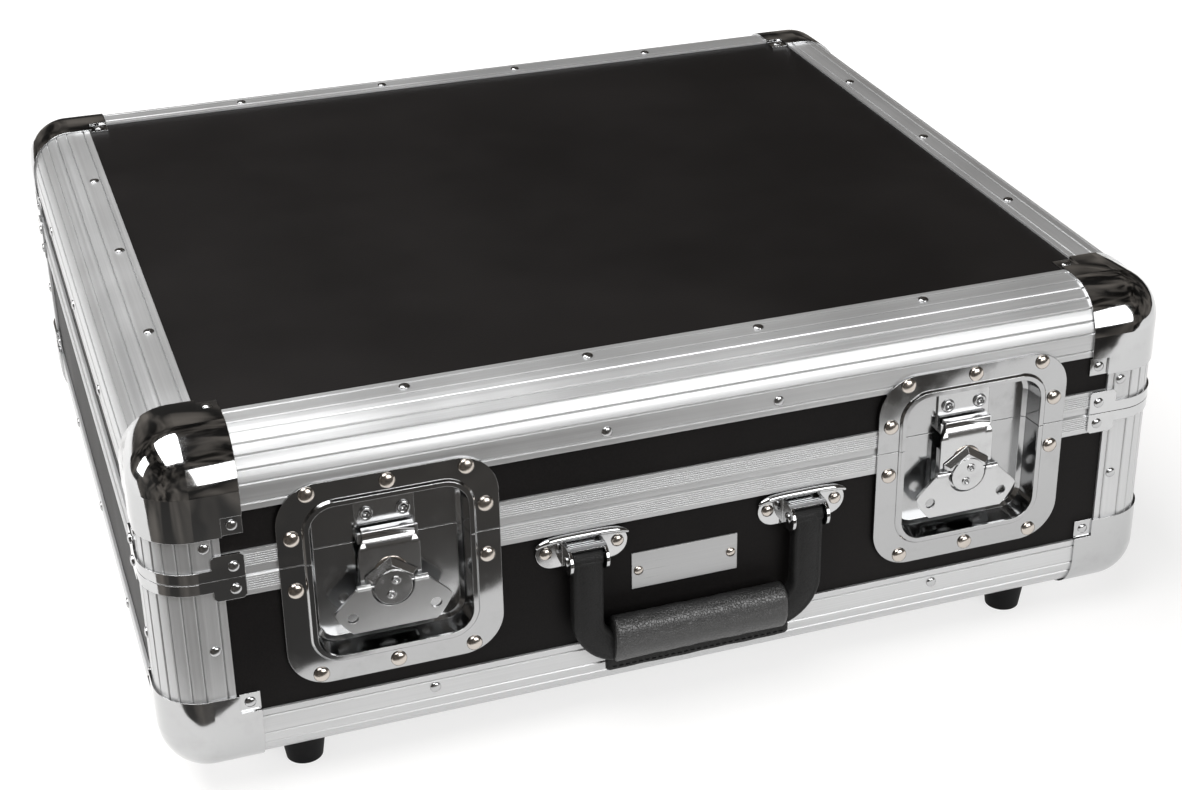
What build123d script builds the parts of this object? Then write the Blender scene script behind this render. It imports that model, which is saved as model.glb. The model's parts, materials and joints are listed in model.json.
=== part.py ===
from build123d import *
import os

# Overall sizes of the case, measured over the edge profiles
width = 520
depth = 456
base_height = 109
lid_height = 66.7
lid_gap = 0.3
foot_height = 17

# Panels and the double-angle edge profiles that hold them
panel_thickness = 7
panel_inset = 24
skin = 1.4
web = 1.4
flange_width = 34
edge_radius = 23
inner_leg = 32
slot_clearance = 0.1
groove_depth = 0.6
groove_width = 1.3
groove_angles = (6, 22, 38, 52, 68, 84)
flange_line = 30.4

# Closing profiles along the parting line
base_closing_height = 10.8
lid_closing_height = 12.4
tongue_offset = 5
tongue_width = 3
tongue_height = 3
tongue_tip = 1.6
tongue_clearance = 0.5
closing_end_gap = 0.3
closing_chamfer = 1.2
shadow_line_height = 3.2
shadow_line_depth = 0.6
reed_pitch = 1.15
reed_depth = 0.28
base_reed_start = 3
lid_reed_start = 4.6
reed_count = 6

# Corner caps and the corner braces at the parting line
cap_reach = 45
cap_thickness = 1.2
tab_wall = 1
tab_clearance = 0.3
brace_thickness = 1.2
brace_band = 5.6
brace_ear_start = 29
brace_reach = 44
brace_lip_width = 9
brace_corner = 1.6

# Recessed latch dishes: drops go down and rises go up from the parting line
latch_side_distance = 111
dish_width = 104
dish_drop = 66
dish_rise = 40.7
dish_radius = 20
dish_sheet = 1.2
recess_width = 74.6
recess_drop = 52.2
recess_rise = 27.9
recess_radius = 12
recess_depth = 10.5
recess_draft = 7
floor_bevel = 1.8
bead_width = 3.2
bead_height = 1.3
bead_bevel = 0.9
cutout_clearance = 0.4

# Twist latch
hub_drop = 21.5
hub_radius = 9
hub_proud = 0.6
hub_disc = 3.2
shaft_radius = 5
post_radius = 2
pin_clearance = 0.06
latch_gap = 0.4
gable_width = 25
gable_rise = 15
gable_eave = 3
gable_slope = 48
wing_depth = 0.6
wing_thickness = 1.5
wing_pivot_rise = 1.5
wing_pin_radius = 0.75
wing_barrel_radius = 1.5
wing_half_top = 17
wing_cutout_radius = 10.4
wing_hole_x = 20
wing_hole_drop = 13.5
wing_hole_radius = 2.7
wing_tip_radius = 8.6
wing_clearance = 0.8
wing_lobe_drop = 21.5
wing_lobe_width = 22
draw_depth = 3.2
draw_width = 29
draw_sheet = 1.2
draw_travel = 8
draw_tail = 4
draw_flange = 3.4
draw_corner = 0.8
keeper_width = 28.5
keeper_sheet = 1.2
keeper_rise = 7.5
keeper_height = 16.6
keeper_lip_depth = 4.9
keeper_lip_rise = 4
hook_clearance = 0.5

# Carrying handle and its brackets
handle_pitch = 114
handle_pivot_drop = 22
handle_pin_out = 6.6
handle_pin_radius = 2
leg_width = 15.5
leg_thickness = 9
leg_bevel = 2
handle_drop = 61
outer_corner = 26
inner_corner = 11
sleeve_length = 90
sleeve_height = 25
sleeve_depth = 15
sleeve_round = 7
sleeve_back = 0.8
seam_length = 96
seam_height = 6
seam_thickness = 3.4
bracket_length = 46
bracket_height = 17
bracket_rise = 2
bracket_sheet = 1.5
bracket_gap = 0.5
hood_radius = 5.3
hood_lean = 2.3

# Plain plate between the handle brackets
plate_width = 55
plate_height = 20
plate_thickness = 0.8
plate_offset = -4
plate_drop = 50

# Hinges on the rear wall
hinge_side_distance = 115
hinge_length = 64
hinge_sheet = 1.5
hinge_leaf_height = 30
knuckle_radius = 3.2
knuckle_count = 3
knuckle_gap = 0.3
hinge_pin_radius = 1.5
hinge_stand_off = 0.3

# Feet
foot_side_distance = 67.5
foot_edge_distance = 29.5
foot_top_radius = 11.5
foot_bottom_radius = 9

# Foam lining
foam_inset = 13
foam_seat_gap = 0.3
bay_width = 456
bay_depth = 356
base_pad = 14
lid_pad = 20
foam_chamfer = 16
bay_corner = 4

# Rivets of the dish flanges
dish_rivet_radius = 3.9
dish_rivet_head = 1.9
rivet_sides = 8
rivet_taper = 38
dish_rivet_side = 45.3
dish_rivet_corner = 37
dish_rivet_top_rise = 2

# Places that follow from the sizes above
total_height = base_height + lid_gap + lid_height
lid_bottom = base_height + lid_gap
latch_spread = width - 2 * latch_side_distance
hinge_spread = width - 2 * hinge_side_distance
foot_spread = width - 2 * foot_side_distance
dish_bottom = base_height - dish_drop
dish_top = lid_bottom + dish_rise
recess_bottom = base_height - recess_drop
recess_top = lid_bottom + recess_rise
hub_height = base_height - hub_drop
keeper_bottom = lid_bottom + keeper_rise
keeper_top = keeper_bottom + keeper_height
handle_pivot_height = base_height - handle_pivot_drop
plate_bottom = base_height - plate_drop
panel_face = skin + slot_clearance
panel_back = panel_face + panel_thickness
inner_face = panel_back + slot_clearance
inner_back = inner_face + web
hinge_axis_out = knuckle_radius + hinge_stand_off
hinge_axis_height = base_height + lid_gap / 2
handle_reach = sleeve_back + sleeve_depth
hinge_reach = hinge_axis_out + knuckle_radius
front = -depth / 2 + (handle_reach - hinge_reach) / 2
rear = front + depth
middle = (front + rear) / 2
tab_start = flange_width + tab_clearance
recess_middle = (recess_bottom + recess_top) / 2
cutout_width = recess_width + 2 * (dish_sheet + cutout_clearance)
cutout_height = recess_top - recess_bottom + 2 * (dish_sheet + cutout_clearance)
closing_end = flange_width + closing_end_gap
lid_panel_bottom = lid_bottom + tongue_height + tongue_clearance + web + slot_clearance
base_panel_top = base_height - web - slot_clearance
wing_axis_depth = wing_depth + wing_thickness / 2
wing_axis_height = hub_height + wing_pivot_rise
wing_reach = hub_height - recess_bottom - wing_clearance
keeper_lip_top = keeper_bottom + keeper_sheet + keeper_lip_rise
handle_bottom = handle_pivot_height - handle_drop
hook_underside = keeper_lip_top + hook_clearance
hook_tip_depth = keeper_lip_depth + keeper_sheet + hook_clearance

# Walls: x runs along the wall, y up from the underside of the edge profiles, z outward
wall_front = Plane(origin=(0, front, foot_height), x_dir=(1, 0, 0), z_dir=(0, -1, 0))
wall_rear = Plane(origin=(0, rear, foot_height), x_dir=(-1, 0, 0), z_dir=(0, 1, 0))
wall_left = Plane(origin=(-width / 2, middle, foot_height), x_dir=(0, -1, 0), z_dir=(-1, 0, 0))
wall_right = Plane(origin=(width / 2, middle, foot_height), x_dir=(0, 1, 0), z_dir=(1, 0, 0))
walls = {"front": wall_front, "rear": wall_rear, "left": wall_left, "right": wall_right}
half_length = {"front": width / 2, "rear": width / 2, "left": depth / 2, "right": depth / 2}
top_face = Plane(origin=(0, middle, foot_height + total_height), z_dir=(0, 0, 1))
bottom_face = Plane(origin=(0, middle, foot_height), x_dir=(1, 0, 0), z_dir=(0, 0, -1))


def rectangle(left, low, right, high):
    # Rectangle between two opposite corners.
    return Pos((left + right) / 2, (low + high) / 2) * Rectangle(right - left, high - low)


def block(left, low, back, right, high, out):
    # Box between two opposite corners.
    return extrude(Pos(0, 0, back) * rectangle(left, low, right, high), out - back)


def outline(*points):
    return make_face(Polyline(*points, close=True))


def along_wall(section, start, end):
    # Sweeps a section, drawn as inward distance and height, along a wall from start to end.
    plane = Plane(origin=(start, 0, 0), x_dir=(0, 0, -1), z_dir=(1, 0, 0))
    return plane * extrude(section, end - start)


def corner_places(height):
    # The four vertical edges of the case, each turned so that its walls run along +X and +Y.
    return (
        Location((-width / 2, front, height), (0, 0, 0)),
        Location((width / 2, front, height), (0, 0, 90)),
        Location((width / 2, rear, height), (0, 0, 180)),
        Location((-width / 2, rear, height), (0, 0, 270)),
    )


def save(name, *solids):
    shapes = [solid for shape in solids for solid in shape.solids()]
    piece = shapes[0] if len(shapes) == 1 else Compound(children=shapes)
    export_step(piece, f"parts/{name}.step")


def notch(width_across, depth_in):
    # V-shaped notch with its mouth on the Y axis and its point on +X.
    half = width_across / 2
    return outline((-depth_in, -2 * half), (depth_in, 0), (-depth_in, 2 * half))


def rounded_angle(size, offset, radius):
    # Square whose corner nearest the origin is rounded.
    square = Pos(offset, offset) * Rectangle(size, size, align=(Align.MIN, Align.MIN))
    corner = square.vertices().sort_by_distance((offset, offset, 0))[0]
    return fillet(corner, radius)


def edge_section():
    # Double angle with the case's corner at the origin and its flanges along +X and +Y.
    section = rounded_angle(flange_width, 0, edge_radius)
    section -= rounded_angle(flange_width, skin, edge_radius - skin)
    cutter = notch(groove_width, groove_depth)
    for angle in groove_angles:
        section -= Pos(edge_radius, edge_radius) * Rot(0, 0, angle) * Pos(-edge_radius, 0) * cutter
    section -= Pos(0, flange_line) * cutter
    section -= Pos(flange_line, 0) * Rot(0, 0, 90) * cutter
    leg = rectangle(panel_inset - web, inner_face, inner_leg, inner_back)
    wall = rectangle(panel_inset - web, skin / 2, panel_inset, inner_back)
    turned_leg = rectangle(inner_face, panel_inset - web, inner_back, inner_leg)
    turned_wall = rectangle(skin / 2, panel_inset - web, inner_back, panel_inset)
    bridge = outline(
        (panel_inset - web, inner_face),
        (panel_inset, inner_back),
        (inner_back, panel_inset),
        (inner_face, panel_inset - web),
    )
    return section + leg + wall + turned_leg + turned_wall + bridge


def edge_bar(side, lid):
    # Horizontal edge profile of one wall, at the foot of the base or the top of the lid.
    # The front and rear ones run through, and the side ones butt against their flanges.
    end = panel_inset if side in ("front", "rear") else flange_width + slot_clearance
    length = 2 * (half_length[side] - end)
    height = total_height if lid else 0
    turn = -1 if lid else 1
    plane = Plane(origin=(0, height, 0), x_dir=(0, 0, -1), z_dir=(turn, 0, 0))
    return walls[side] * plane * extrude(edge_section(), length / 2, both=True)


def corner_posts(lid):
    # Vertical edge profiles between the flanges of the horizontal ones and the braces.
    low = lid_bottom + brace_thickness if lid else flange_width + slot_clearance
    high = total_height - flange_width - slot_clearance if lid else base_height - brace_thickness
    post = extrude(edge_section(), high - low)
    return [place * post for place in corner_places(foot_height + low)]


def dish_cutouts():
    hole = Rectangle(cutout_width, cutout_height)
    holes = Sketch()
    for place in (-latch_spread / 2, latch_spread / 2):
        holes += Pos(place, recess_middle) * hole
    return holes


def wall_panel(side, lid):
    low = lid_panel_bottom if lid else panel_inset
    high = total_height - panel_inset if lid else base_panel_top
    half = half_length[side] - panel_inset
    panel = rectangle(-half, low, half, high)
    if side == "front":
        panel -= dish_cutouts()
    return walls[side] * Pos(0, 0, -panel_back) * extrude(panel, panel_thickness)


def flat_panel(face):
    sheet = Rectangle(width - 2 * panel_inset, depth - 2 * panel_inset)
    return face * Pos(0, 0, -panel_back) * extrude(sheet, panel_thickness)


def reeds(start):
    cutter = notch(reed_pitch / 2, reed_depth)
    return [Pos(0, start + index * reed_pitch) * cutter for index in range(reed_count)]


def base_closing_section():
    # Channel over the wall's top edge, with a tapered tongue that enters the lid's groove.
    low = base_height - base_closing_height
    section = rectangle(0, low, inner_back, base_height)
    section -= rectangle(skin, low, inner_face, base_height - web)
    section -= outline((0, base_height), (closing_chamfer, base_height), (0, base_height - closing_chamfer))
    section += outline(
        (tongue_offset - tongue_width / 2, base_height - web / 2),
        (tongue_offset - tongue_width / 2, base_height),
        (tongue_offset - tongue_tip / 2, base_height + tongue_height),
        (tongue_offset + tongue_tip / 2, base_height + tongue_height),
        (tongue_offset + tongue_width / 2, base_height),
        (tongue_offset + tongue_width / 2, base_height - web / 2),
    )
    for cutter in reeds(low + base_reed_start):
        section -= cutter
    return section


def lid_closing_section():
    # Channel over the lid wall's lower edge, with the groove that takes the tongue.
    groove_top = lid_bottom + tongue_height + tongue_clearance
    groove_half = tongue_width / 2 + tongue_clearance
    section = rectangle(0, lid_bottom, inner_back, lid_bottom + lid_closing_height)
    section -= rectangle(skin, groove_top + web, inner_face, lid_bottom + lid_closing_height)
    section -= rectangle(tongue_offset - groove_half, lid_bottom, tongue_offset + groove_half, groove_top)
    section -= rectangle(0, lid_bottom, shadow_line_depth, lid_bottom + shadow_line_height)
    for cutter in reeds(lid_bottom + lid_reed_start):
        section -= cutter
    return section


def closing(side, lid):
    # Closing profile of one wall; the front one is cut out where the dishes sit.
    section = lid_closing_section() if lid else base_closing_section()
    half = half_length[side] - closing_end
    if side != "front":
        return [walls[side] * along_wall(section, -half, half)]
    inner = latch_spread / 2 - cutout_width / 2
    outer = latch_spread / 2 + cutout_width / 2
    spans = ((-half, -outer), (-inner, inner), (outer, half))
    return [walls[side] * along_wall(section, start, end) for start, end in spans]


def cap_block(size, radius, offset):
    # Cube whose three edges nearest the case's corner are rounded into a ball corner.
    cube = block(offset, offset, offset, offset + size, offset + size, offset + size)
    meeting = cube.edges().sort_by_distance((offset, offset, offset))[:3]
    return fillet(meeting, radius)


def tab_square(level, height, start):
    # Square by the inner corner of the face that lies in the XY plane.
    return block(start, start, level, cap_reach, cap_reach, level + height)


def corner_cap():
    # Pressed cap over one corner of the case, which lies at the origin with its edges along the axes.
    cap = cap_block(cap_reach + cap_thickness, edge_radius + cap_thickness, -cap_thickness)
    cap -= cap_block(cap_reach + 2 * cap_thickness, edge_radius, 0)
    step = panel_face - cap_thickness
    pocket_start = tab_start + tab_wall
    for turn in (Rot(0, 0, 0), Plane.YZ.location, Plane.ZX.location):
        tab = tab_square(-cap_thickness, cap_thickness + panel_face, tab_start)
        tab -= tab_square(-cap_thickness, cap_thickness + step, pocket_start)
        cap -= turn * tab_square(-2 * cap_thickness, 2 * cap_thickness, pocket_start)
        cap += turn * tab
    return cap


def corner_brace(lid):
    # Band round the corner post at the parting line, with an ear on each wall and a lip inside.
    height = lid_closing_height if lid else base_closing_height
    band = rounded_angle(brace_reach + brace_thickness, -brace_thickness, edge_radius + brace_thickness)
    band -= rounded_angle(brace_reach + 2 * brace_thickness, 0, edge_radius)
    lip = rounded_angle(flange_width, 0, edge_radius)
    lip -= rounded_angle(flange_width, brace_lip_width, edge_radius - brace_lip_width)
    brace = extrude(band, brace_band) + extrude(lip, brace_thickness)
    ear = rectangle(brace_ear_start, 0, brace_reach, height)
    ear = chamfer(ear.vertices().group_by(Axis.Y)[-1], brace_corner)
    brace += Plane.XZ * extrude(ear, brace_thickness)
    brace += Plane.YZ * extrude(ear, -brace_thickness)
    return brace if lid else mirror(brace, Plane.XY)


def dish():
    # Pressed steel dish: flat flange, drafted recess and a rolled bead round its mouth.
    centre = (dish_bottom + dish_top) / 2
    recess_height = recess_top - recess_bottom
    mouth = RectangleRounded(recess_width, recess_height, recess_radius)
    shell = RectangleRounded(
        recess_width + 2 * dish_sheet,
        recess_height + 2 * dish_sheet,
        recess_radius + dish_sheet,
    )
    bead = RectangleRounded(
        recess_width + 2 * bead_width,
        recess_height + 2 * bead_width,
        recess_radius + bead_width,
    )
    inward = Plane(origin=(0, recess_middle, dish_sheet), x_dir=(1, 0, 0), z_dir=(0, 0, -1))
    hollow = inward * extrude(mouth, recess_depth + dish_sheet, taper=recess_draft)
    hollow = chamfer(hollow.faces().sort_by(Axis.Z)[0].edges(), floor_bevel)
    body = inward * extrude(shell, recess_depth + 2 * dish_sheet, taper=recess_draft)
    body = chamfer(body.faces().sort_by(Axis.Z)[0].edges(), floor_bevel)
    face = RectangleRounded(dish_width, dish_top - dish_bottom, dish_radius)
    flange = Pos(0, centre) * extrude(face, dish_sheet)
    rim = Pos(0, recess_middle, dish_sheet) * extrude(bead, bead_height)
    rim = chamfer(rim.faces().sort_by(Axis.Z)[-1].edges(), bead_bevel)
    mouth_cut = Pos(0, recess_middle, dish_sheet) * extrude(mouth, bead_height)
    return flange + body + rim - hollow - mouth_cut


def lower_dish(whole):
    # Base half of the dish, with the post that the latch hub turns on.
    floor = block(-dish_width, 0, -recess_depth * 2, dish_width, base_height, recess_depth)
    half = whole & floor
    post_length = recess_depth - draw_depth
    half += Pos(0, hub_height, -recess_depth - dish_sheet / 2) * extrude(
        Circle(post_radius), post_length + dish_sheet / 2
    )
    return half


def upper_dish(whole):
    return whole & block(-dish_width, lid_bottom, -recess_depth * 2, dish_width, total_height, recess_depth)


def keeper():
    # Hooked plate on the lid's dish: its lip turns outward and up.
    section = rectangle(recess_depth - keeper_sheet, keeper_bottom, recess_depth, keeper_top)
    section += rectangle(keeper_lip_depth, keeper_bottom, recess_depth, keeper_bottom + keeper_sheet)
    section += rectangle(keeper_lip_depth, keeper_bottom, keeper_lip_depth + keeper_sheet, keeper_lip_top)
    return along_wall(section, -keeper_width / 2, keeper_width / 2)


def draw_plate():
    # Sliding plate whose curled top hooks over the keeper's lip; a slot clears the hub's shaft.
    low = hub_height - shaft_radius - latch_gap - draw_travel - draw_tail
    back = draw_depth + draw_sheet
    top = hook_underside + draw_sheet
    tip = keeper_bottom + keeper_sheet + hook_clearance
    section = rectangle(draw_depth, low, back, top)
    section += rectangle(draw_depth, hook_underside, hook_tip_depth + draw_sheet, top)
    section += rectangle(hook_tip_depth, tip, hook_tip_depth + draw_sheet, top)
    outer_corners = section.vertices().group_by(Axis.Y)[-1]
    section = fillet(outer_corners, draw_corner)
    plate = along_wall(section, -draw_width / 2, draw_width / 2)
    flange_top = keeper_bottom - draw_travel - latch_gap
    for start in (-draw_width / 2, draw_width / 2 - draw_sheet):
        plate += block(start, low, -back - draw_flange, start + draw_sheet, flange_top, -back)
    half_slot = shaft_radius + latch_gap
    slot = SlotCenterToCenter(draw_travel, 2 * half_slot)
    slot = Pos(0, hub_height - draw_travel / 2) * Rot(0, 0, 90) * slot
    return plate - Pos(0, 0, -2 * back) * extrude(slot, 2 * back)


def hub():
    # Turning hub with a gabled roof above its face, a shaft through the draw plate and a cross pin.
    disc_back = hub_proud - hub_disc
    centre = Pos(0, hub_height)
    disc = centre * Pos(0, 0, disc_back) * extrude(Circle(hub_radius), hub_disc)
    low = wing_pivot_rise + wing_barrel_radius + latch_gap
    half = gable_width / 2
    eave = low + gable_eave
    roof = outline((half, 0), (half, eave), (0, gable_rise), (-half, eave), (-half, 0))
    gable = Pos(0, 0, disc_back) * extrude(roof, hub_disc - hub_proud, taper=gable_slope)
    gable -= block(-half, -low, disc_back, half, low, hub_proud)
    shaft_end = latch_gap - recess_depth
    shaft = Pos(0, 0, shaft_end) * extrude(Circle(shaft_radius), disc_back - shaft_end)
    body = disc + centre * (gable + shaft)
    pin_half = wing_half_top - wing_barrel_radius / 2
    pin = Cylinder(wing_pin_radius, 2 * pin_half, rotation=(0, 90, 0))
    body += Pos(0, wing_axis_height, -wing_axis_depth) * pin
    bore = extrude(Circle(post_radius + pin_clearance), recess_depth - draw_depth)
    return body - centre * Pos(0, 0, -recess_depth) * bore


def wing():
    # Butterfly handle: two holed lobes round the hub, hung on barrels at its top edge.
    top = wing_pivot_rise
    body = outline(
        (-wing_half_top, top),
        (wing_half_top, top),
        (wing_hole_x + wing_tip_radius, -wing_hole_drop),
        (wing_lobe_width / 2, -wing_lobe_drop),
        (-wing_lobe_width / 2, -wing_lobe_drop),
        (-wing_hole_x - wing_tip_radius, -wing_hole_drop),
    )
    for side in (-1, 1):
        body += Pos(side * wing_hole_x, -wing_hole_drop) * Circle(wing_tip_radius)
    shape = make_hull(body.edges()) & Circle(wing_reach)
    shape -= Circle(wing_cutout_radius)
    for side in (-1, 1):
        shape -= Pos(side * wing_hole_x, -wing_hole_drop) * Circle(wing_hole_radius)
    shape -= rectangle(-wing_cutout_radius, 0, wing_cutout_radius, 2 * top)
    plate = Pos(0, hub_height, -wing_depth - wing_thickness) * extrude(shape, wing_thickness)
    barrel_length = wing_half_top - wing_cutout_radius
    for side in (-1, 1):
        centre = side * (wing_cutout_radius + barrel_length / 2)
        place = Pos(centre, wing_axis_height, -wing_axis_depth)
        plate += place * Cylinder(wing_barrel_radius, barrel_length, rotation=(0, 90, 0))
    bore = Cylinder(wing_pin_radius + pin_clearance, 4 * wing_half_top, rotation=(0, 90, 0))
    return plate - Pos(0, wing_axis_height, -wing_axis_depth) * bore


def handle():
    # Wrapped carrying handle: two flat legs that loop round the pins, a sleeve and its lower seam.
    outer_half = (handle_pitch + leg_width) / 2
    inner_half = (handle_pitch - leg_width) / 2
    outer = rectangle(-outer_half, handle_bottom, outer_half, handle_pivot_height)
    outer = fillet(outer.vertices().group_by(Axis.Y)[0], outer_corner)
    inner = rectangle(-inner_half, handle_bottom + leg_width, inner_half, handle_pivot_height)
    inner = fillet(inner.vertices().group_by(Axis.Y)[0], inner_corner)
    band = Pos(0, 0, handle_pin_out - leg_thickness / 2) * extrude(outer - inner, leg_thickness)
    front_edges = band.faces().sort_by(Axis.Z)[-1].edges().filter_by(
        lambda edge: edge.center().Y < handle_pivot_height - slot_clearance
    )
    band = chamfer(front_edges, leg_bevel)
    sleeve = Pos(-sleeve_back - sleeve_depth / 2, handle_bottom + sleeve_height / 2) * RectangleRounded(
        sleeve_depth, sleeve_height, sleeve_round
    )
    band += along_wall(sleeve, -sleeve_length / 2, sleeve_length / 2)
    seam_top = handle_bottom + seam_height / 2
    seam = rectangle(-handle_pin_out, seam_top - seam_height, seam_thickness - handle_pin_out, seam_top)
    band += along_wall(seam, -seam_length / 2, seam_length / 2)
    for side in (-1, 1):
        place = Pos(side * handle_pitch / 2, handle_pivot_height, handle_pin_out)
        band += place * Cylinder(leg_thickness / 2, leg_width, rotation=(0, 90, 0))
    bore = Cylinder(handle_pin_radius + pin_clearance, 2 * handle_pitch, rotation=(0, 90, 0))
    return band - Pos(0, handle_pivot_height, handle_pin_out) * bore


def handle_bracket():
    # Oval plate with two ears that hold the pin, and a hood curving over it.
    plate = Pos(0, handle_pivot_height + bracket_rise, -panel_face) * extrude(
        SlotOverall(bracket_length, bracket_height), bracket_sheet
    )
    ear_inner = leg_width / 2 + bracket_gap
    ear_outer = ear_inner + bracket_sheet
    hood_outer = hood_radius + bracket_sheet
    axis = Pos(-handle_pin_out, handle_pivot_height)
    ear = axis * (Circle(hood_outer) + rectangle(0, -hood_outer, handle_pin_out, hood_outer))
    reach = 2 * hood_outer
    wedge = outline((0, 0), (reach, 0), (reach, reach), (-reach / hood_lean, reach))
    hood = axis * ((Circle(hood_outer) - Circle(hood_radius)) & wedge)
    plate += along_wall(hood, -ear_outer, ear_outer)
    for start in (-ear_outer, ear_inner):
        plate += along_wall(ear, start, start + bracket_sheet)
    pin = axis * Circle(handle_pin_radius)
    return plate + along_wall(pin, -ear_outer, ear_outer)


def name_plate():
    left = plate_offset - plate_width / 2
    top = plate_bottom + plate_height
    return block(left, plate_bottom, -panel_face, left + plate_width, top, plate_thickness - panel_face)


def hinge_leaf(lid):
    # Leaf that lies on the closing profile, steps in to the panel and carries its share of the knuckles.
    reach = lid_closing_height if lid else base_closing_height
    knuckle_clear = knuckle_radius + knuckle_gap
    step = reach + lid_gap / 2
    strip = outline(
        (-hinge_sheet, knuckle_clear),
        (0, knuckle_clear),
        (0, step),
        (panel_face, step + panel_face),
        (panel_face, hinge_leaf_height),
        (panel_face - hinge_sheet, hinge_leaf_height),
        (panel_face - hinge_sheet, step + panel_face + slot_clearance),
        (-hinge_sheet, step + slot_clearance),
    )
    neck = rectangle(-hinge_sheet, knuckle_gap, 0, knuckle_clear)
    eye = Pos(-hinge_axis_out, 0) * Circle(knuckle_radius)
    leaf = along_wall(strip, -hinge_length / 2, hinge_length / 2)
    pitch = hinge_length / knuckle_count
    for index in range(1 if lid else 0, knuckle_count, 2):
        start = -hinge_length / 2 + index * pitch + knuckle_gap / 2
        leaf += along_wall(neck + eye, start, start + pitch - knuckle_gap)
    bore = Pos(-hinge_axis_out, 0) * Circle(hinge_pin_radius + pin_clearance)
    leaf -= along_wall(bore, -hinge_length, hinge_length)
    if not lid:
        leaf = mirror(leaf, Plane.XZ)
    return Pos(0, hinge_axis_height) * leaf


def hinge_pin():
    pin = Pos(-hinge_axis_out, hinge_axis_height) * Circle(hinge_pin_radius)
    return along_wall(pin, -hinge_length / 2, hinge_length / 2)


def foot():
    # Tapered rubber foot, standing on the XY plane.
    return Pos(0, 0, foot_height / 2) * Cone(foot_bottom_radius, foot_top_radius, foot_height)


def base_foam():
    # Lining with a bay for the turntable; its lower edges clear the edge profiles.
    low = inner_back + foam_seat_gap
    high = base_height - foam_seat_gap
    lining = extrude(Rectangle(width - 2 * foam_inset, depth - 2 * foam_inset), high - low)
    lower_edges = lining.faces().sort_by(Axis.Z)[0].edges()
    lining = chamfer(lining.edges().filter_by(Axis.Z) + lower_edges, foam_chamfer)
    bay = extrude(RectangleRounded(bay_width, bay_depth, bay_corner), high - low - base_pad)
    return Pos(0, middle, foot_height + low) * (lining - Pos(0, 0, base_pad) * bay)


def lid_foam():
    # Flat pad under the lid's top panel.
    high = total_height - inner_back - foam_seat_gap
    pad = extrude(Rectangle(width - 2 * foam_inset, depth - 2 * foam_inset), lid_pad)
    upper_edges = pad.faces().sort_by(Axis.Z)[-1].edges()
    pad = chamfer(pad.edges().filter_by(Axis.Z) + upper_edges, foam_chamfer)
    return Pos(0, middle, foot_height + high - lid_pad) * pad


def dish_rivets(lid):
    # Five rivets on each half of each dish flange.
    head = extrude(RegularPolygon(dish_rivet_radius, rivet_sides), dish_rivet_head, taper=rivet_taper)
    upper = (dish_top + recess_top + bead_width) / 2
    lower = (dish_bottom + recess_bottom - bead_width) / 2
    side_height = lid_bottom + lid_closing_height + dish_rivet_top_rise
    places = [(-dish_rivet_corner, upper), (0, upper), (dish_rivet_corner, upper)]
    if not lid:
        side_height = base_height - base_closing_height - dish_rivet_top_rise
        places = [(-dish_rivet_corner, lower), (0, lower), (dish_rivet_corner, lower)]
    places += [(-dish_rivet_side, side_height), (dish_rivet_side, side_height)]
    heads = []
    for centre in (-latch_spread / 2, latch_spread / 2):
        heads += [wall_front * Pos(centre + x, y, dish_sheet) * head for x, y in places]
    return heads


os.makedirs("parts", exist_ok=True)

# Panels, edge profiles and closing profiles of the two halves
for lid, half in ((False, "base"), (True, "lid")):
    for side in walls:
        save(f"{half}_{side}_panel", wall_panel(side, lid))
        save(f"{half}_{side}_edge", edge_bar(side, lid))
        save(f"{half}_{side}_closing", *closing(side, lid))
    save(f"{half}_corner_posts", *corner_posts(lid))
save("base_bottom_panel", flat_panel(bottom_face))
save("lid_top_panel", flat_panel(top_face))

# Corner fittings and the rivets of the dishes
cap = corner_cap()
save("base_corner_caps", *[place * cap for place in corner_places(foot_height)])
lid_cap = mirror(cap, Plane.XY)
save("lid_corner_caps", *[place * lid_cap for place in corner_places(foot_height + total_height)])
for lid, half, level in ((False, "base", base_height), (True, "lid", lid_bottom)):
    brace = corner_brace(lid)
    save(f"{half}_corner_braces", *[place * brace for place in corner_places(foot_height + level)])
    save(f"{half}_dish_rivets", *dish_rivets(lid))

# Latches
whole_dish = dish()
stations = {name: wall_front * Pos(side * latch_spread / 2) for name, side in (("left", -1), ("right", 1))}
save("keepers", *[station * keeper() for station in stations.values()])
for name, station in stations.items():
    save(f"{name}_lower_dish", station * lower_dish(whole_dish))
    save(f"{name}_upper_dish", station * upper_dish(whole_dish))
    save(f"{name}_draw_plate", station * draw_plate())
    save(f"{name}_hub", station * hub())
    save(f"{name}_wing", station * wing())

# Handle, plate, hinges, feet and lining
save("handle", wall_front * handle())
bracket_stations = [wall_front * Pos(side * handle_pitch / 2) for side in (-1, 1)]
save("handle_brackets", *[station * handle_bracket() for station in bracket_stations])
save("name_plate", wall_front * name_plate())
hinge_stations = [wall_rear * Pos(sign * hinge_spread / 2, 0, 0) for sign in (-1, 1)]
save("base_hinge_leaves", *[station * hinge_leaf(False) for station in hinge_stations])
save("lid_hinge_leaves", *[station * hinge_leaf(True) for station in hinge_stations])
save("hinge_pins", *[station * hinge_pin() for station in hinge_stations])
foot_y = depth / 2 - foot_edge_distance
feet = [Pos(x * foot_spread / 2, middle + y * foot_y) * foot() for x in (-1, 1) for y in (-1, 1)]
save("feet", *feet)
save("base_foam", base_foam())
save("lid_foam", lid_foam())
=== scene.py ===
import json

import bmesh
import bpy
import numpy as np
from mathutils import Matrix, Vector

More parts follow.
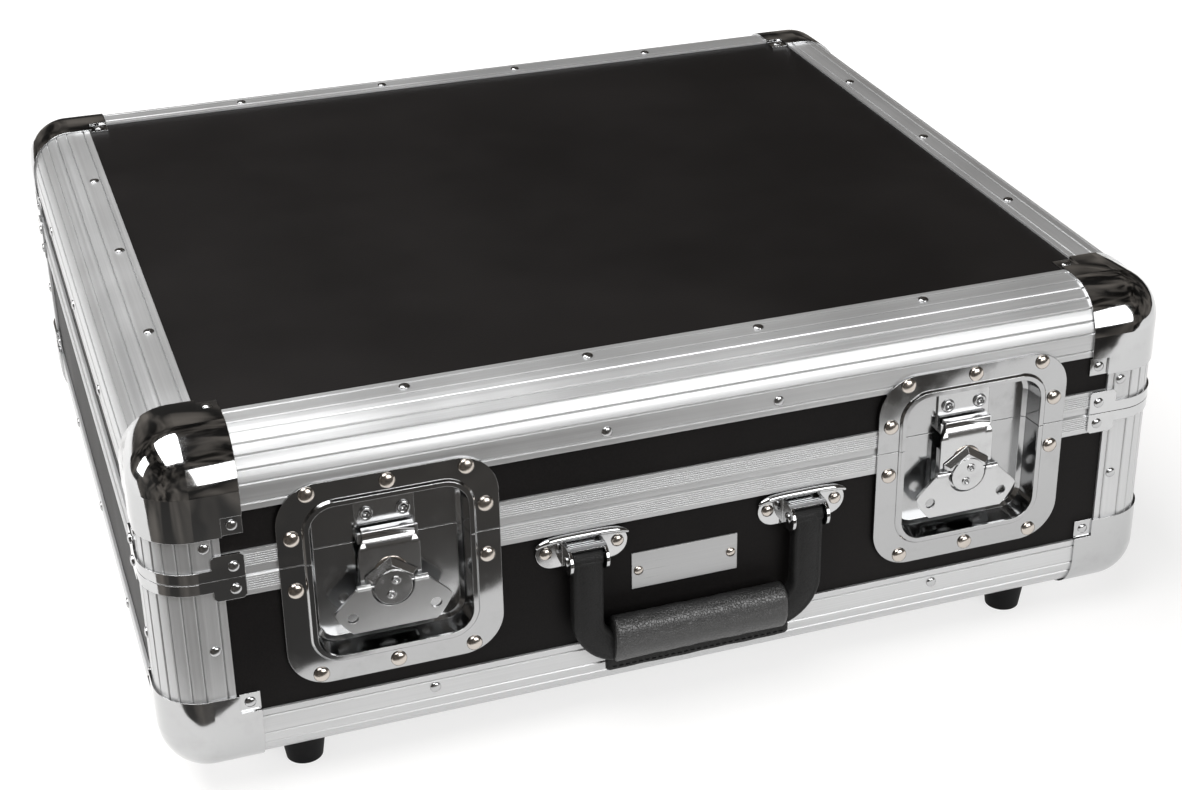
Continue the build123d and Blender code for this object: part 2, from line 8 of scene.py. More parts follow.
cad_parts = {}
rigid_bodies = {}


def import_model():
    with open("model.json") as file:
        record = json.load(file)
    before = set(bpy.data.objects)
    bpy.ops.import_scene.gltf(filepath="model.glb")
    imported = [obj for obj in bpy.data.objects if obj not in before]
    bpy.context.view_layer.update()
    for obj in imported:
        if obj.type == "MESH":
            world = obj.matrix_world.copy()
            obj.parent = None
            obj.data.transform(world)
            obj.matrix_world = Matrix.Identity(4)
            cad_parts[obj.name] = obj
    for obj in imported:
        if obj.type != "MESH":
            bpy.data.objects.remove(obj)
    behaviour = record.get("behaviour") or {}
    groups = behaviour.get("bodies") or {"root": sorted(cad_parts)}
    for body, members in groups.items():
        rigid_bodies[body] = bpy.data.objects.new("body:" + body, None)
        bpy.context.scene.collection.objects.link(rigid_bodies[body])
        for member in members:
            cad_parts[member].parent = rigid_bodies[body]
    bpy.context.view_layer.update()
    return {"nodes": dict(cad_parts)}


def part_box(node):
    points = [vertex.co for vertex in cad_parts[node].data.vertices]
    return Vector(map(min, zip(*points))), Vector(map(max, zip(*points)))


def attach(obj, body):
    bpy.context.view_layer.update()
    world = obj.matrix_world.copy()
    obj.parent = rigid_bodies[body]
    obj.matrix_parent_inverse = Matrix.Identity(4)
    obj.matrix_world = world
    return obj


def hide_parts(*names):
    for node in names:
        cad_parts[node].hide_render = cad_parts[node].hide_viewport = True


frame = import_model()

tau = 2 * np.pi
mm = 0.001

# where the case stands in the frame, in millimetres, as the record and the node boxes give it
case = {
    "width": 520, "depth": 456, "foot": 17, "base": 109, "lid": 66.7, "gap": 0.3,
    "front": -223.45, "rear": 232.55, "latch": 149,
}
case["top"] = case["base"] + case["gap"] + case["lid"]
case["middle"] = (case["front"] + case["rear"]) / 2


# camera and studio

photoView = {
    "place": (-0.324152, -1.050369, 0.646742),
    "right": (0.939138, -0.343511, -0.004351),
    "down": (-0.160612, -0.427837, -0.889471),
    "ahead": (0.303682, 0.836035, -0.45697),
    "focal": 2139.7, "centre": (646.34, 370.2), "image": (1182, 790),
}


def makeCamera(view):
    # the turn's columns are right, up and back; lens and shift come from the focal length
    # and the centre, both in pixels
    camera = bpy.data.objects.new("camera", bpy.data.cameras.new("camera"))
    up, back = [-v for v in view["down"]], [-v for v in view["ahead"]]
    turn = Matrix([view["right"], up, back]).transposed().to_4x4()
    camera.matrix_world = Matrix.Translation(view["place"]) @ turn
    across, high = view["image"]
    camera.data.sensor_width = 36
    camera.data.lens = view["focal"] * 36 / across
    camera.data.shift_x = (across / 2 - view["centre"][0]) / across
    camera.data.shift_y = (view["centre"][1] - high / 2) / across
    camera.data.clip_start = 0.05
    camera.data.clip_end = 50
    bpy.context.collection.objects.link(camera)
    bpy.context.scene.camera = camera


softboxes = [
    # name, place, aimed at, width, height, watts
    ("overhead", (-0.7, -0.2, 1.6), (-0.7, -0.2, 0), 1.1, 2.1, 52),
    ("front", (0.75, -2.3, 0.85), (0, 0, 0.1), 1.3, 1.5, 31),
    ("left", (-2.4, 0.3, 0.9), (0, 0, 0.1), 0.9, 1.0, 16),
]


def makeSoftbox(name, place, aim, wide, high, watts):
    light = bpy.data.objects.new(name, bpy.data.lights.new(name, "AREA"))
    light.data.shape = "RECTANGLE"
    light.data.size = wide
    light.data.size_y = high
    light.data.energy = watts
    back = Vector(place) - Vector(aim)
    light.matrix_world = Matrix.Translation(place) @ back.to_track_quat("Z", "Y").to_matrix().to_4x4()
    light.visible_camera = False
    bpy.context.collection.objects.link(light)


# shader maths: a socket that can be added, multiplied and so on

class Wire:
    def __init__(self, finish, socket):
        self.finish = finish
        self.socket = socket

    def math(self, operation, *others):
        return self.finish.node("Math", {"operation": operation}, [self, *others])

    def __add__(self, other):
        return self.math("ADD", other)

    def __sub__(self, other):
        return self.math("SUBTRACT", other)

    def __mul__(self, other):
        return self.math("MULTIPLY", other)

    def __pow__(self, other):
        return self.math("POWER", other)

    def __rsub__(self, other):
        return self.finish.node("Math", {"operation": "SUBTRACT"}, [other, self])

    __radd__ = __add__
    __rmul__ = __mul__

    def range(self, low, high, start=0.0, end=1.0):
        # maps low..high to start..end, held at both ends
        return self.finish.node("MapRange", {"clamp": True}, [self, low, high, start, end])


class Finish:
    def __init__(self, name):
        self.material = bpy.data.materials.new(name)
        self.material.use_nodes = True
        self.tree = self.material.node_tree
        self.surface = self.tree.nodes["Principled BSDF"]

    def feed(self, socket, value):
        if isinstance(value, Wire):
            self.tree.links.new(value.socket, socket)
        elif value is not None:
            socket.default_value = value

    def node(self, kind, settings=None, sockets=(), out=0):
        # any node: its settings first, then its sockets by place or by name
        made = self.tree.nodes.new("ShaderNode" + kind)
        for name, value in (settings or {}).items():
            setattr(made, name, value)
        pairs = sockets.items() if isinstance(sockets, dict) else enumerate(sockets)
        for key, value in pairs:
            self.feed(made.inputs[key], value)
        return Wire(self, made.outputs[out])

    def place(self, scale=(1, 1, 1)):
        # object coordinates in metres, stretched by a Mapping node
        where = self.node("TexCoord", out="Object")
        return self.node("Mapping", None, {"Vector": where, "Scale": scale})

    def noise(self, where, scale, detail=3, rough=0.5, twist=0.0):
        return self.node("TexNoise", None, {
            "Vector": where, "Scale": scale, "Detail": detail, "Roughness": rough, "Distortion": twist,
        })

    def mix(self, amount, low, high):
        # colour mix; low and high may be colours or wires
        made = self.tree.nodes.new("ShaderNodeMix")
        made.data_type = "RGBA"
        for socket, value in ((made.inputs[0], amount), (made.inputs[6], low), (made.inputs[7], high)):
            if isinstance(value, tuple):
                value = (*value, 1)
            self.feed(socket, value)
        return Wire(self, made.outputs[2])

    def bump(self, height, strength, distance, under=None):
        return self.node("Bump", None, {
            "Strength": strength, "Distance": distance, "Height": height, "Normal": under,
        })

    def worn(self, radius):
        # the normal of an edge rounded by this many metres
        return self.node("Bevel", {"samples": 4}, {"Radius": radius})

    def hollow(self, distance):
        # 1 in the open, towards 0 in grooves and corners; it paints shade into a colour
        settings = {"samples": 6, "only_local": True}
        return self.node("AmbientOcclusion", settings, {"Distance": distance}, out="AO")

    def seen(self):
        # 1 for the camera, mirrors and glass, 0 for the light on the object
        kinds = ("Camera", "Glossy", "Transmission")
        rays = [self.node("LightPath", out="Is %s Ray" % kind) for kind in kinds]
        return rays[0].math("MAXIMUM", rays[1]).math("MAXIMUM", rays[2])

    def paint(self, **sockets):
        for name, value in sockets.items():
            self.feed(self.surface.inputs[name.replace("_", " ")], value)
        return self.material


def tint(grey, warm=0.0):
    return (grey * (1 + warm), grey, grey * (1 - warm))


# finishes

# the corner's radius in millimetres, and the swelling per metre along each axis
ball = {"radius": 23, "bulge": (5.0, 5.0, 0.8)}

metalSettings = {
    "streakLength": 2.2, "streakWidth": 900.0,  # streaks per metre, along and across
    "light": 0.68, "dark": 0.55, "metallic": 0.72, "roughness": (0.30, 0.44),
    "edge": 0.0003, "groove": 0.0011,  # metres
}


def brushedMetal(name, along, settings, shade=1.0):
    # fine streaks along one axis, with slow smudges that change the roughness, and painted shade darkening
    # the grooves and corners
    finish = Finish(name)
    scale = [settings["streakWidth"]] * 3
    scale["xyz".index(along)] = settings["streakLength"]
    streaks = finish.noise(finish.place(scale=tuple(scale)), 1.0, 4, 0.6)
    fine = finish.noise(finish.place(scale=tuple(s * 2.7 for s in scale)), 1.0, 2, 0.5)
    smudge = finish.noise(finish.place(), 14.0, 3, 0.55)
    lines = streaks * 0.6 + fine * 0.4
    light = tint(settings["light"] * shade, -0.006)
    dark = tint(settings["dark"] * shade, -0.01)
    rough = settings["roughness"]
    face = finish.mix(lines.range(0.3, 0.7) * 0.7 + smudge.range(0.35, 0.7) * 0.3, dark, light)
    # painted shade: the colour goes to dark grey where ambient occlusion finds grooves and corners
    grooves = finish.hollow(settings["groove"]).range(0.35, 0.8)
    return finish.paint(
        Base_Color=finish.mix(grooves, tint(0.10), face),
        Metallic=settings["metallic"],
        Roughness=lines.range(0.3, 0.7, rough[0], rough[1]) + smudge.range(0.3, 0.7, -0.03, 0.05),
        Normal=finish.bump(lines, 0.25, 0.00006, finish.worn(settings["edge"])),
    )


# the dish floors are rougher: the depths behind the front wall, in millimetres, between which that fades in,
# and the roughness it adds
recess = {"starts": 4.5, "ends": 6.5, "haze": 0.06}


def chrome(name, grey, roughness, wave, wear=0.25, warm=-0.008, edge=0.0004, shape=None, deep=None):
    # bright plate over steel: slow waves of the pressing, faint haze and specks; a deep floor is duller
    finish = Finish(name)
    where = finish.place()
    under = finish.worn(edge)
    if shape:
        under = shape(finish, under)
    pressing = finish.noise(where, 26.0, 2, 0.45)
    haze = finish.noise(where, 70.0, 5, 0.6)
    specks = finish.noise(where, 1900.0, 2, 0.5)
    haze = haze.range(0.52, 0.78)
    rough = haze * 0.10 + specks.range(0.6, 0.8) * 0.08 + roughness
    if deep:
        depth = finish.node("SeparateXYZ", None, [where], out=1) - case["front"] * mm
        rough = rough + depth.range(deep["starts"] * mm, deep["ends"] * mm, 0.0, deep["haze"])
    dull = haze * wear + specks.range(0.62, 0.75) * 0.12
    return finish.paint(
        Base_Color=finish.mix(dull, tint(grey, warm), tint(grey * 0.72, warm + 0.01)),
        Metallic=1.0,
        Roughness=rough,
        Normal=finish.bump(pressing, 0.35, wave, under),
    )


def bulged(finish, under):
    # the pressed caps swell a little: past the ball corner the face falls with the square of the distance,
    # along each axis by its own share, which bends the mirror image as on the real ones
    where = finish.node("SeparateXYZ", None, [finish.place()], out=0)
    parts = [Wire(finish, where.socket.node.outputs[index]) for index in range(3)]
    centre = (0, case["middle"] * mm, (case["foot"] + case["top"] / 2) * mm)
    half = [case["width"] / 2, case["depth"] / 2, case["top"] / 2]
    fall = 0
    for part, middle, reach, bulge in zip(parts, centre, half, ball["bulge"]):
        beyond = (reach - ball["radius"]) * mm - (part - middle).math("ABSOLUTE")
        fall = beyond.math("MAXIMUM", 0.0) ** 2 * -bulge + fall
    return finish.bump(fall, 1.0, 1.0, under)


def laminate(name):
    # satin black sheet with a fine pebbled face
    finish = Finish(name)
    where = finish.place()
    pebble = finish.node("TexVoronoi", {"feature": "SMOOTH_F1"}, {
        "Vector": where, "Scale": 900.0, "Smoothness": 0.6,
    })
    grain = finish.noise(where, 1300.0, 3, 0.6)
    cloud = finish.noise(where, 9.0, 3, 0.5)
    finish.surface.inputs["Specular IOR Level"].default_value = 0.12
    shade = grain.range(0.35, 0.7) * 0.5 + cloud.range(0.35, 0.65) * 0.5
    return finish.paint(
        Base_Color=finish.mix(shade, (0.0045, 0.004, 0.004), (0.011, 0.0098, 0.0095)),
        Roughness=cloud.range(0.3, 0.7, 0.46, 0.56) + grain.range(0.3, 0.7, -0.03, 0.05),
        Normal=finish.bump(pebble * 0.7 + grain * 0.5, 0.5, 0.00008),
    )


def leather(name, scale=640.0, roughness=(0.62, 0.48), light=0.011, gloss=0.28):
    # black pebbled hide: cells with creases between them, paler where it is rubbed
    finish = Finish(name)
    where = finish.place()
    warp = finish.noise(where, 160.0, 2, 0.5)
    push = (0.0012, 0.0012, 0.0012)
    bent = finish.node("VectorMath", {"operation": "MULTIPLY_ADD"}, [warp, push, where])
    cells = finish.node("TexVoronoi", {"feature": "DISTANCE_TO_EDGE"}, {"Vector": bent, "Scale": scale})
    creases = cells.range(0.0, 0.12)
    wrinkles = finish.noise(finish.place(scale=(1, 1, 2.2)), 240.0, 5, 0.65)
    rub = finish.noise(where, 45.0, 3, 0.5).range(0.5, 0.75)
    finish.surface.inputs["Specular IOR Level"].default_value = gloss
    return finish.paint(
        Base_Color=finish.mix(creases * 0.5 + rub * 0.5, tint(0.005), tint(light)),
        Roughness=creases.range(0.0, 1.0, *roughness) + rub * 0.06,
        Normal=finish.bump(creases * 0.65 + wrinkles * 0.7, 0.6, 0.00024),
    )


def rubber(name):
    finish = Finish(name)
    where = finish.place()
    grain = finish.noise(where, 1500.0, 3, 0.6)
    dust = finish.noise(where, 120.0, 4, 0.6).range(0.55, 0.8)
    finish.surface.inputs["Specular IOR Level"].default_value = 0.15
    return finish.paint(
        Base_Color=finish.mix(dust, (0.005, 0.005, 0.0055), (0.016, 0.0155, 0.015)),
        Roughness=dust.range(0.0, 1.0, 0.66, 0.8),
        Normal=finish.bump(grain, 0.4, 0.00012),
    )


def openFoam(name):
    # charcoal foam: open cells of two sizes
    finish = Finish(name)
    where = finish.place()
    cells = finish.node("TexVoronoi", None, {"Vector": where, "Scale": 620.0})
    small = finish.node("TexVoronoi", None, {"Vector": where, "Scale": 1500.0})
    cloud = finish.noise(where, 12.0, 3, 0.5)
    pores = cells.range(0.15, 0.6) * 0.7 + small.range(0.15, 0.6) * 0.3
    shade = pores * 0.8 + cloud.range(0.35, 0.65) * 0.2
    return finish.paint(
        Base_Color=finish.mix(shade, (0.008, 0.008, 0.009), (0.034, 0.034, 0.037)),
        Roughness=cloud.range(0.3, 0.7, 0.88, 0.97),
        Normal=finish.bump(pores, 0.9, 0.0006),
    )


profileAlong = {axis: brushedMetal("brushedProfile" + axis.upper(), axis, metalSettings) for axis in "xyz"}
plateSettings = {**metalSettings, "roughness": (0.26, 0.38), "streakWidth": 1400.0}
plateMetal = brushedMetal("plateBrushed", "x", plateSettings, 0.78)
capChrome = chrome("capChrome", 0.50, 0.06, 0.0013, shape=bulged)
dishChrome = chrome("dishChrome", 0.43, 0.075, 0.0009, deep=recess)
fittingChrome = chrome("fittingChrome", 0.54, 0.07, 0.0005)
latchChrome = chrome("latchChrome", 0.55, 0.18, 0.0004)
wingSatin = chrome("wingSatin", 0.58, 0.28, 0.0003, 0.35)
rivetNickel = chrome("rivetNickel", 0.50, 0.17, 0.0002, 0.4)
rivetBrass = chrome("rivetBrass", 0.52, 0.19, 0.0002, 0.3, 0.09)
hingeSteel = chrome("hingeSteel", 0.55, 0.2, 0.0003, 0.35)
blackLaminate = laminate("blackLaminate")
handleHide = leather("handleHide")
sleeveHide = leather("sleeveHide", 720.0, (0.45, 0.33), 0.026, 0.85)
footRubber = rubber("footRubber")
liningFoam = openFoam("liningFoam")


def finishFor(node):
    # which finish a kept node gets; profiles are brushed along their own length
    if node.endswith("panel"):
        return blackLaminate
    if node.endswith(("edge", "closing")):
        return profileAlong["x" if "front" in node or "rear" in node else "y"]
    if node.endswith("posts"):
        return profileAlong["z"]
    for word, finish in (
        ("caps", capChrome), ("braces", fittingChrome), ("dish", dishChrome), ("wing", wingSatin),
        ("hinge", hingeSteel), ("name_plate", plateMetal), ("feet", footRubber), ("foam", liningFoam),
        ("rivets", rivetNickel), ("brackets", fittingChrome),
    ):
        if word in node:
            return finish
    return handleHide if node == "handle" else latchChrome


for nodeName, nodeObject in frame["nodes"].items():
    nodeObject.data.materials.clear()
    nodeObject.data.materials.append(finishFor(nodeName))
print("finishes:", len(bpy.data.materials))


# surfaces from numpy grids

def gridObject(name, points, finish):
    # points is [pieces, rows, columns, 3] in metres; neighbours on the grid become faces, each row is
    # a closed ring, and the first and the last row are filled
    points = np.asarray(points, float)
    if points.ndim == 3:
        points = points[None]
    pieces, rows, columns, _ = points.shape
    index = np.arange(rows * columns).reshape(rows, columns)
    index = np.concatenate([index, index[:, :1]], axis=1)
    quads = [index[:-1, :-1], index[:-1, 1:], index[1:, 1:], index[1:, :-1]]
    quads = np.stack(quads, axis=-1).reshape(-1, 4)
    starts = np.arange(pieces)[:, None, None] * rows * columns
    faces = (quads[None] + starts).reshape(-1, 4).tolist()
    ends = np.stack([np.arange(columns)[::-1], (rows - 1) * columns + np.arange(columns)])
    faces += (ends[None] + starts).reshape(-1, columns).tolist()
    mesh = bpy.data.meshes.new(name)
    mesh.from_pydata(points.reshape(-1, 3).tolist(), [], faces)
    mesh.update()
    mesh.shade_smooth()
    made = bpy.data.objects.new(name, mesh)
    made.data.materials.append(finish)
    bpy.context.collection.objects.link(made)
    return made


def onWall(wall, across, high, out):
    # millimetres on a wall (along it, above the profiles' underside, outward) to metres in the frame
    across, high, out = (np.asarray(v, float) for v in np.broadcast_arrays(across, high, out))
    up = case["foot"] + high
    x, y = {
        "front": (across, case["front"] - out),
        "rear": (-across, case["rear"] + out),
        "left": (-case["width"] / 2 - out, case["middle"] - across),
        "right": (case["width"] / 2 + out, case["middle"] + across),
    }[wall]
    return np.stack([x, y, up], axis=-1) * mm


wallOut = {"front": (0, -1, 0), "rear": (0, 1, 0), "left": (-1, 0, 0), "right": (1, 0, 0)}


def onFace(top, x, y):
    # a point on the top or bottom face of the profiles, in metres, from millimetres about the case's middle
    x, y = (np.asarray(v, float) for v in np.broadcast_arrays(x, y))
    level = case["foot"] + (case["top"] if top else 0)
    return np.stack([x, case["middle"] + y, np.full(x.shape, level)], axis=-1) * mm


def turned(centres, outwards, spread, height, sides):
    # a small turned piece at each centre: ring k is a circle of radius spread[k],
    # raised by height[k] along outward
    centres = np.asarray(centres, float)
    outwards = np.broadcast_to(np.asarray(outwards, float), centres.shape)
    spread, height = np.asarray(spread) * mm, np.asarray(height) * mm
    helper = np.where(np.abs(outwards[:, 2:]) > 0.9, np.array([[1.0, 0, 0]]), np.array([[0, 0, 1.0]]))
    side = np.cross(helper, outwards)
    side /= np.linalg.norm(side, axis=1, keepdims=True)
    other = np.cross(outwards, side)
    turn = np.arange(sides) * tau / sides
    ring = side[:, None] * np.cos(turn)[None, :, None] + other[:, None] * np.sin(turn)[None, :, None]
    return (
        centres[:, None, None]
        + ring[:, None] * spread[None, :, None, None]
        + outwards[:, None, None] * height[None, :, None, None]
    )


def domes(centres, outwards, radius, head, sides=14):
    # a rivet head: a short straight rim, then a dome whose radius falls as the cosine of the angle
    # and whose height grows as its sine
    rim = head * 0.22
    climb = np.radians([18, 36, 54, 71, 84])
    spread = np.concatenate([[1.0, 1.0], np.cos(climb)]) * radius
    height = np.concatenate([[-0.05, rim], rim + (head - rim) * np.sin(climb)])
    return turned(centres, outwards, spread, height, sides)


def eyelets(centres, outwards, radius, hole, head, sides=20):
    # a rolled ring: its top is a half circle from the outer rim to the hole, whose floor lies below the top
    middle, half = (radius + hole) / 2, (radius - hole) / 2
    roll = np.radians([0, 30, 60, 90, 120, 150, 180])
    spread = np.concatenate([[radius], middle + half * np.cos(roll), [hole]])
    height = np.concatenate([[-0.05], head * (0.35 + 0.65 * np.sin(roll)), [head * 0.15]])
    return turned(centres, outwards, spread, height, sides)


def trim(name, shape, finish, body):
    made = gridObject(name, shape, finish)
    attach(made, body)
    return made


# rivets

rivets = {
    "radius": 2.7, "head": 1.2, "fromEdge": 26.8, "longRow": (132, 43.5), "shortRow": (102.5, 0),
    "tab": 40.15, "tabOut": -0.3, "ear": 39, "fittingOut": 1.2,
    "earHeights": {"lid": 115.5, "base": 103.6}, "postHeights": {"lid": 126.35, "base": 71.6},
    "dishRadius": 3.9, "dishHead": 1.95, "dishSide": 45.3, "dishCorner": 37,
    "dishHeights": {"lid": (145.2, 123.7), "base": (48.3, 96.2)},
}
hinge = {"across": (125, 165), "heights": {"lid": 132.15, "base": 86.15}, "radius": 2.9, "head": 1.2}
plateRivets = {"across": (-28.1, 20.1), "height": 69, "out": -0.7, "radius": 2.5, "head": 1.2}
bracket = {
    "pitch": 57, "middle": 89, "rivetAcross": 18, "rivetRadius": 3.2, "rivetHead": 1.7,
    "pinHalf": 9.75, "pinHeight": 87, "pinOut": 6.6, "pinRadius": 2.7, "pinHead": 1.3,
    "rimHalf": 24.6, "rimRise": 9.4, "rimRadius": 1.8, "rimOut": 1.3, "rimEnd": 0.34,
}
roundSides = 18  # sides of the larger rivets


def bothSigns(*values):
    return np.array([sign * value for value in values for sign in ((1, -1) if value else (1,))])


def wallRivets(half):
    # every small rivet of the base or of the lid, as centres and outward directions
    lid = half == "lid"
    level = case["top"] - rivets["fromEdge"] if lid else rivets["fromEdge"]
    tabLevel = case["top"] - rivets["tab"] if lid else rivets["tab"]
    found = []
    for wall, out in wallOut.items():
        end = case["width"] / 2 if wall in ("front", "rear") else case["depth"] / 2
        longRow = bothSigns(*rivets["longRow"])
        row = longRow if wall == "rear" else bothSigns(*rivets["shortRow"])
        if wall == "front":
            row = bothSigns(rivets["longRow"][1 if lid else 0])
        spots = (
            (row, level, 0),
            (bothSigns(end - rivets["fromEdge"]), rivets["postHeights"][half], 0),
            (bothSigns(end - rivets["tab"]), tabLevel, rivets["tabOut"]),
            (bothSigns(end - rivets["ear"]), rivets["earHeights"][half], rivets["fittingOut"]),
        )
        found += [(onWall(wall, *spot), out) for spot in spots]
    up = (0, 0, 1 if lid else -1)
    x = bothSigns(*rivets["longRow"])
    halfX, halfY = case["width"] / 2, case["depth"] / 2
    edgeX, edgeY = halfX - rivets["fromEdge"], halfY - rivets["fromEdge"]
    for side in (1, -1):
        found.append((onFace(lid, x, side * edgeY), up))
        found.append((onFace(lid, side * edgeX, bothSigns(*rivets["shortRow"])), up))
        tabs = onFace(lid, bothSigns(halfX - rivets["tab"]), side * (halfY - rivets["tab"]))
        found.append((tabs + np.array(up) * rivets["tabOut"] * mm, up))
    return found


def makeRivets(half):
    # the small rivets and those of the latch dishes, on the base or on the lid
    small = [domes(centres, out, rivets["radius"], rivets["head"]) for centres, out in wallRivets(half)]
    trim(half + "Rivets", np.concatenate(small), rivetNickel, half)
    corner, side = rivets["dishHeights"][half]
    near, far = rivets["dishCorner"], rivets["dishSide"]
    across = np.array([-near, 0, near, -far, far])
    level = np.array([corner, corner, corner, side, side])
    out = rivets["fittingOut"]
    centres = (-case["latch"], case["latch"])
    spots = np.concatenate([onWall("front", centre + across, level, out) for centre in centres])
    heads = domes(spots, wallOut["front"], rivets["dishRadius"], rivets["dishHead"], roundSides)
    dish = trim(half + "DishRivets", heads, rivetBrass, half)
    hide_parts(half + "_dish_rivets")


def makeHingeRivets(half):
    spots = onWall("rear", bothSigns(*hinge["across"]), hinge["heights"][half], 0)
    heads = domes(spots, wallOut["rear"], hinge["radius"], hinge["head"])
    trim(half + "HingeRivets", heads, rivetNickel, half)


def bracketRims(r):
    # the rolled upper rim of each bracket: a thin tube over the top half of a flattened oval, whose height
    # is the fourth root of 1 minus the fourth power of the way across; it thins to its ends
    angle = np.linspace(r["rimEnd"], np.pi - r["rimEnd"], 40)
    way = np.cos(angle)
    across, high = r["rimHalf"] * way, r["rimRise"] * (1 - way ** 4) ** 0.25 - r["rimRadius"]
    thin = r["rimRadius"] * np.clip(np.sin(angle) * 1.4, 0.3, 1)[:, None]
    around = np.arange(12) * tau / 12
    ahead = np.stack([np.gradient(across), np.gradient(high)], -1)
    ahead /= np.linalg.norm(ahead, axis=1, keepdims=True)
    x = across[:, None] - ahead[:, 1:] * thin * np.cos(around)
    h = r["middle"] + high[:, None] + ahead[:, :1] * thin * np.cos(around)
    out = r["rimOut"] + thin * np.sin(around)
    return np.stack([onWall("front", side * r["pitch"] + x, h, out) for side in (-1, 1)])


def makeBrackets(b, plate):
    # the rivets of the handle's brackets and of the plate, the pins' heads and the brackets' rims
    front = wallOut["front"]
    across = bothSigns(b["pitch"] - b["rivetAcross"], b["pitch"] + b["rivetAcross"])
    spots = onWall("front", across, b["middle"], 0)
    heads = domes(spots, front, b["rivetRadius"], b["rivetHead"], roundSides)
    trim("bracketRivets", heads, rivetBrass, "base")
    spots = onWall("front", np.array(plate["across"]), plate["height"], plate["out"])
    trim("plateRivets", domes(spots, front, plate["radius"], plate["head"], roundSides), rivetBrass, "base")
    pinEnds = bothSigns(b["pitch"] + b["pinHalf"], b["pitch"] - b["pinHalf"])
    spots = onWall("front", pinEnds, b["pinHeight"], b["pinOut"])
    sideways = np.array([(1, 0, 0), (-1, 0, 0), (-1, 0, 0), (1, 0, 0)])
    trim("pinHeads", domes(spots, sideways, b["pinRadius"], b["pinHead"], roundSides), rivetNickel, "base")
    trim("bracketRims", bracketRims(b), fittingChrome, "base")


for half in ("base", "lid"):
    makeRivets(half)
for half in ("base", "lid"):
    makeHingeRivets(half)
makeBrackets(bracket, plateRivets)
counted = [len(o.data.polygons) for o in bpy.data.objects if "ivets" in o.name and o.type == "MESH"]
print("rivets:", sum(counted), "faces")


# latches: the hook and the keeper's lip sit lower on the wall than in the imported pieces,
# so copies of those are cut at the shoulders' heights and their points moved

latch = {
    "drop": 6.2, "keeperAbove": 125, "plateAbove": 105, "shoulders": (107, 113), "halfWidths": (14.5, 12.3),
    "eyelet": {"across": 8.8, "height": 123.7, "out": -9.3, "radius": 3.6, "hole": 1.7, "head": 1.2},
    "boss": {"height": 94.5, "out": -3.2, "radius": 8, "head": 0.5, "sides": 32},
    "hubHeight": 87.5, "faceDots": ((1.4, 3.8), (-1.1, -3.6)),
    "dot": {"radius": 2.3, "hole": 1.1, "head": 0.6},
    # points closer than "merge" metres become one, edges bent more than "sharp" degrees stay sharp
    "merge": 1e-6, "sharp": 35,
}


def reshaped(node, body, name, cuts, move):
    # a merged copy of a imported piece, cut level at some heights, whose points go where the function says
    mesh = frame["nodes"][node].data.copy()
    mesh.name = name
    work = bmesh.new()
    work.from_mesh(mesh)
    bmesh.ops.remove_doubles(work, verts=work.verts, dist=latch["merge"])
    for height in cuts:
        geometry = work.verts[:] + work.edges[:] + work.faces[:]
        level = (0, 0, (case["foot"] + height) * mm)
        bmesh.ops.bisect_plane(work, geom=geometry, plane_co=level, plane_no=(0, 0, 1))
    work.to_mesh(mesh)
    work.free()
    points = np.empty(len(mesh.vertices) * 3)
    mesh.vertices.foreach_get("co", points)
    mesh.vertices.foreach_set("co", move(points.reshape(-1, 3) / mm).ravel() * mm)
    mesh.shade_smooth()
    mesh.set_sharp_from_angle(angle=np.radians(latch["sharp"]))
    mesh.update()
    made = bpy.data.objects.new(name, mesh)
    bpy.context.collection.objects.link(made)
    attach(made, body)
    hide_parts(node)


def loweredKeeper(points):
    # everything below a level on the keepers moves down by the drop
    below = points[:, 2] < case["foot"] + latch["keeperAbove"]
    return points - below[:, None] * (0, 0, latch["drop"])


def loweredPlate(points, middle):
    # the hook moves down by the drop, and the half width runs straight from one shoulder to the other
    above = points[:, 2] > case["foot"] + latch["plateAbove"]
    points = points - above[:, None] * (0, 0, latch["drop"])
    across = points[:, 0] - middle
    most = np.interp(points[:, 2] - case["foot"], latch["shoulders"], latch["halfWidths"])
    points[:, 0] = middle + np.clip(across, -most, most)
    return points


def makeLatches():
    # the lowered keepers with their eyelets, and on each draw plate its boss, on each hub its two dots
    front = wallOut["front"]
    reshaped("keepers", "lid", "keeperPair", (), loweredKeeper)
    eye = latch["eyelet"]
    across = bothSigns(case["latch"] + eye["across"], case["latch"] - eye["across"])
    spots = onWall("front", across, eye["height"], eye["out"])
    trim("keeperEyelets", eyelets(spots, front, eye["radius"], eye["hole"], eye["head"]), rivetNickel, "lid")
    cuts = [height + latch["drop"] for height in latch["shoulders"]]
    for hand, middle in (("left", -case["latch"]), ("right", case["latch"])):
        plate = hand + "_draw_plate"
        reshaped(plate, plate, hand + "DrawPlate", cuts, lambda points: loweredPlate(points, middle))
        boss = latch["boss"]
        spot = onWall("front", [middle], boss["height"], boss["out"])
        disc = domes(spot, front, boss["radius"], boss["head"], boss["sides"])
        trim(hand + "Boss", disc, rivetBrass, plate)
        proud = case["front"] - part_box(hand + "_hub")[0][1] / mm
        dotX, dotHigh = np.array(latch["faceDots"]).T
        spots = onWall("front", middle + dotX, latch["hubHeight"] + dotHigh, proud)
        dot = latch["dot"]
        dots = eyelets(spots, front, dot["radius"], dot["hole"], dot["head"])
        trim(hand + "HubDots", dots, rivetNickel, hand + "_hub")


makeLatches()
print("latches: keepers, two draw plates and their small rivets")


# handle: a padded strap in a U, a wrapped sleeve and the sleeve's stitched seam

